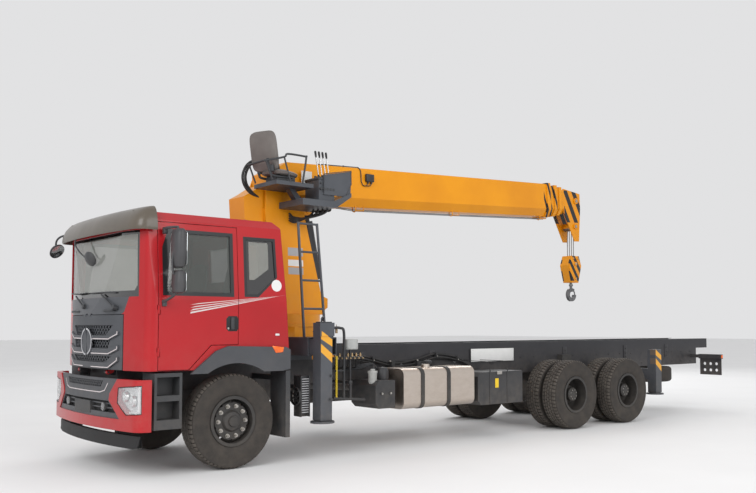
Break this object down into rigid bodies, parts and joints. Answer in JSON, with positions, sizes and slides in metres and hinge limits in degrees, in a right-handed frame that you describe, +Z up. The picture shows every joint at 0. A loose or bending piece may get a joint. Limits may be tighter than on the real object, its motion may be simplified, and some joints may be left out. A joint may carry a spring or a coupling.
{
  "type": "truck-mounted crane",
  "caption": "Three-axle cab lorry chassis with a telescopic boom crane behind the cab, outriggers, hook block and a bare rear frame.",
  "frame": {"origin": "on the ground at the middle of the overall length and width, mirrors included", "axes": "+X forward through the cab, +Y to the driver's left, +Z up"},
  "size_m": [12.33, 2.9, 3.9906],
  "materials": {
    "frame_paint": "satin black chassis paint",
    "axle_paint": "black painted castings",
    "spring_steel": "matt black paint",
    "engine_paint": "grey castings",
    "cab_paint": "gloss red",
    "trim_plastic": "grained grey plastic",
    "step_plastic": "grained black plastic",
    "visor_plastic": "smoked grey-brown plastic",
    "window_glass": "clear, faint grey-green",
    "seat_fabric": "woven grey",
    "seat_vinyl": "grey-brown shell",
    "crane_paint": "gloss orange-yellow",
    "outrigger_paint": "satin dark grey",
    "tank_aluminium": "brushed",
    "strap_steel": "black strap",
    "box_plastic": "grained black",
    "tyre_rubber": "matt rubber",
    "rim_paint": "black paint, steel nuts",
    "hook_steel": "forged steel",
    "rod_chrome": "hard chrome"
  },
  "bodies": {
    "chassis": {"chassis_rails": "frame_paint", "subframe_rails": "frame_paint", "cross_members": "frame_paint", "axles": "axle_paint", "leaf_springs": "spring_steel", "power_unit": "engine_paint", "bumper": "cab_paint", "steps": "step_plastic", "fuel_tank": "tank_aluminium", "tank_straps": "strap_steel", "side_boxes": "box_plastic", "spare_wheel": "tyre_rubber", "tail_lamps": "frame_paint", "outrigger_boxes": "outrigger_paint", "crane_base": "crane_paint", "ladder": "outrigger_paint", "control_station": "frame_paint"},
    "cab": {"cab_shell": "cab_paint", "cab_glass": "window_glass", "wheel_arches": "trim_plastic", "roof_visor": "visor_plastic", "cab_interior": "seat_fabric"},
    "grille": {"grille_panel": "trim_plastic"},
    "column": {"slew_column": "crane_paint", "operator_stand": "outrigger_paint", "operator_seat": "seat_vinyl"},
    "boom_base": {"boom_base": "crane_paint"},
    "boom_2": {"boom_2": "crane_paint"},
    "boom_3": {"boom_3": "crane_paint"},
    "boom_4": {"boom_4": "crane_paint"},
    "luff_barrel": {"luff_barrel": "frame_paint"},
    "luff_rod": {"luff_rod": "rod_chrome"},
    "hook_block": {"hook_block": "crane_paint"},
    "hook": {"hook": "hook_steel"},
    "knuckle_left": {"knuckle_left": "axle_paint"},
    "front_wheel_left": {"front_tyre_left": "tyre_rubber", "front_rim_left": "rim_paint"},
    "door_left": {"door_left": "cab_paint", "door_glass_left": "window_glass", "mirrors_left": "step_plastic"},
    "front_beam_left": {"front_beam_left": "outrigger_paint"},
    "front_jack_left": {"front_jack_left": "outrigger_paint"},
    "rear_jack_left": {"rear_jack_left": "outrigger_paint"},
    "knuckle_right": {"knuckle_right": "axle_paint"},
    "front_wheel_right": {"front_tyre_right": "tyre_rubber", "front_rim_right": "rim_paint"},
    "door_right": {"door_right": "cab_paint", "door_glass_right": "window_glass", "mirrors_right": "step_plastic"},
    "front_beam_right": {"front_beam_right": "outrigger_paint"},
    "front_jack_right": {"front_jack_right": "outrigger_paint"},
    "rear_jack_right": {"rear_jack_right": "outrigger_paint"},
    "rear_wheel_1_left": {"rear_tyres_1_left": "tyre_rubber", "rear_rims_1_left": "rim_paint"},
    "rear_wheel_1_right": {"rear_tyres_1_right": "tyre_rubber", "rear_rims_1_right": "rim_paint"},
    "rear_wheel_2_left": {"rear_tyres_2_left": "tyre_rubber", "rear_rims_2_left": "rim_paint"},
    "rear_wheel_2_right": {"rear_tyres_2_right": "tyre_rubber", "rear_rims_2_right": "rim_paint"}
  },
  "joints": [
    {"name": "steer_left", "type": "hinge", "parent": "chassis", "child": "knuckle_left", "pos_m": [4.89, 0.862, 0.523], "axis": [0, 0, 1], "range_deg": [-35, 35]},
    {"name": "front_wheel_spin_left", "type": "hinge", "parent": "knuckle_left", "child": "front_wheel_left", "pos_m": [4.89, 0.998, 0.523], "axis": [0, 1, 0], "continuous": true},
    {"name": "door_left_swing", "type": "hinge", "parent": "cab", "child": "door_left", "pos_m": [5.795, 1.15, 1.8], "axis": [0, 0, -1], "range_deg": [0, 70]},
    {"name": "front_beam_left_slide", "type": "slide", "parent": "chassis", "child": "front_beam_left", "axis": [0, 1, 0], "range_m": [0, 1.4]},
    {"name": "front_jack_left_slide", "type": "slide", "parent": "front_beam_left", "child": "front_jack_left", "axis": [0, 0, -1], "range_m": [0, 0.4]},
    {"name": "rear_jack_left_slide", "type": "slide", "parent": "chassis", "child": "rear_jack_left", "axis": [0, 0, -1], "range_m": [0, 0.4]},
    {"name": "steer_right", "type": "hinge", "parent": "chassis", "child": "knuckle_right", "pos_m": [4.89, -0.862, 0.523], "axis": [0, 0, 1], "range_deg": [-35, 35]},
    {"name": "front_wheel_spin_right", "type": "hinge", "parent": "knuckle_right", "child": "front_wheel_right", "pos_m": [4.89, -0.998, 0.523], "axis": [0, 1, 0], "continuous": true},
    {"name": "door_right_swing", "type": "hinge", "parent": "cab", "child": "door_right", "pos_m": [5.795, -1.15, 1.8], "axis": [0, 0, 1], "range_deg": [0, 70]},
    {"name": "front_beam_right_slide", "type": "slide", "parent": "chassis", "child": "front_beam_right", "axis": [0, -1, 0], "range_m": [0, 1.4]},
    {"name": "front_jack_right_slide", "type": "slide", "parent": "front_beam_right", "child": "front_jack_right", "axis": [0, 0, -1], "range_m": [0, 0.4]},
    {"name": "rear_jack_right_slide", "type": "slide", "parent": "chassis", "child": "rear_jack_right", "axis": [0, 0, -1], "range_m": [0, 0.4]},
    {"name": "rear_wheel_spin_1_left", "type": "hinge", "parent": "chassis", "child": "rear_wheel_1_left", "pos_m": [-0.96, 0.961, 0.523], "axis": [0, 1, 0], "continuous": true},
    {"name": "rear_wheel_spin_1_right", "type": "hinge", "parent": "chassis", "child": "rear_wheel_1_right", "pos_m": [-0.96, -0.961, 0.523], "axis": [0, 1, 0], "continuous": true},
    {"name": "rear_wheel_spin_2_left", "type": "hinge", "parent": "chassis", "child": "rear_wheel_2_left", "pos_m": [-2.31, 0.961, 0.523], "axis": [0, 1, 0], "continuous": true},
    {"name": "rear_wheel_spin_2_right", "type": "hinge", "parent": "chassis", "child": "rear_wheel_2_right", "pos_m": [-2.31, -0.961, 0.523], "axis": [0, 1, 0], "continuous": true},
    {"name": "cab_tilt", "type": "hinge", "parent": "chassis", "child": "cab", "pos_m": [6.03, 0, 1.07], "axis": [0, 1, 0], "range_deg": [0, 45]},
    {"name": "grille_lift", "type": "hinge", "parent": "cab", "child": "grille", "pos_m": [6.091, 0, 1.69], "axis": [0, -1, 0], "range_deg": [0, 60]},
    {"name": "slew", "type": "hinge", "parent": "chassis", "child": "column", "pos_m": [3.46, 0, 1.6], "axis": [0, 0, 1], "continuous": true},
    {"name": "luff", "type": "hinge", "parent": "column", "child": "boom_base", "pos_m": [3.74, 0, 3.42], "axis": [0, 1, 0], "range_deg": [-3, 73]},
    {"name": "boom_2_slide", "type": "slide", "parent": "boom_base", "child": "boom_2", "axis": [-0.9986, 0, 0.0523], "range_m": [0, 2.9]},
    {"name": "boom_3_slide", "type": "slide", "parent": "boom_2", "child": "boom_3", "axis": [-0.9986, 0, 0.0523], "range_m": [0, 2.9]},
    {"name": "boom_4_slide", "type": "slide", "parent": "boom_3", "child": "boom_4", "axis": [-0.9986, 0, 0.0523], "range_m": [0, 2.9]},
    {"name": "luff_barrel_swing", "type": "hinge", "parent": "boom_base", "child": "luff_barrel", "pos_m": [3.21264, 0, 3.10216], "axis": [0, 1, 0], "range_deg": [-75, 5]},
    {"name": "luff_rod_slide", "type": "slide", "parent": "luff_barrel", "child": "luff_rod", "axis": [-0.1986, 0, -0.9801], "range_m": [-0.05, 0.75]},
    {"name": "hook_hang", "type": "hinge", "parent": "boom_4", "child": "hook_block", "pos_m": [-2.44405, 0, 3.3135], "axis": [0, 1, 0], "range_deg": [-75, 5]},
    {"name": "hook_swivel", "type": "hinge", "parent": "hook_block", "child": "hook", "pos_m": [-2.44405, 0, 2.33], "axis": [0, 0, 1], "continuous": true}
  ],
  "couplings": [
    {"joint": "steer_right", "follows": "steer_left", "ratio": 1},
    {"joint": "boom_3_slide", "follows": "boom_2_slide", "ratio": 1},
    {"joint": "boom_4_slide", "follows": "boom_2_slide", "ratio": 1},
    {"joint": "luff_barrel_swing", "follows": "luff", "ratio": -1},
    {"joint": "luff_rod_slide", "follows": "luff", "m_per_rad": 0.57291},
    {"joint": "hook_hang", "follows": "luff", "ratio": -1}
  ]
}
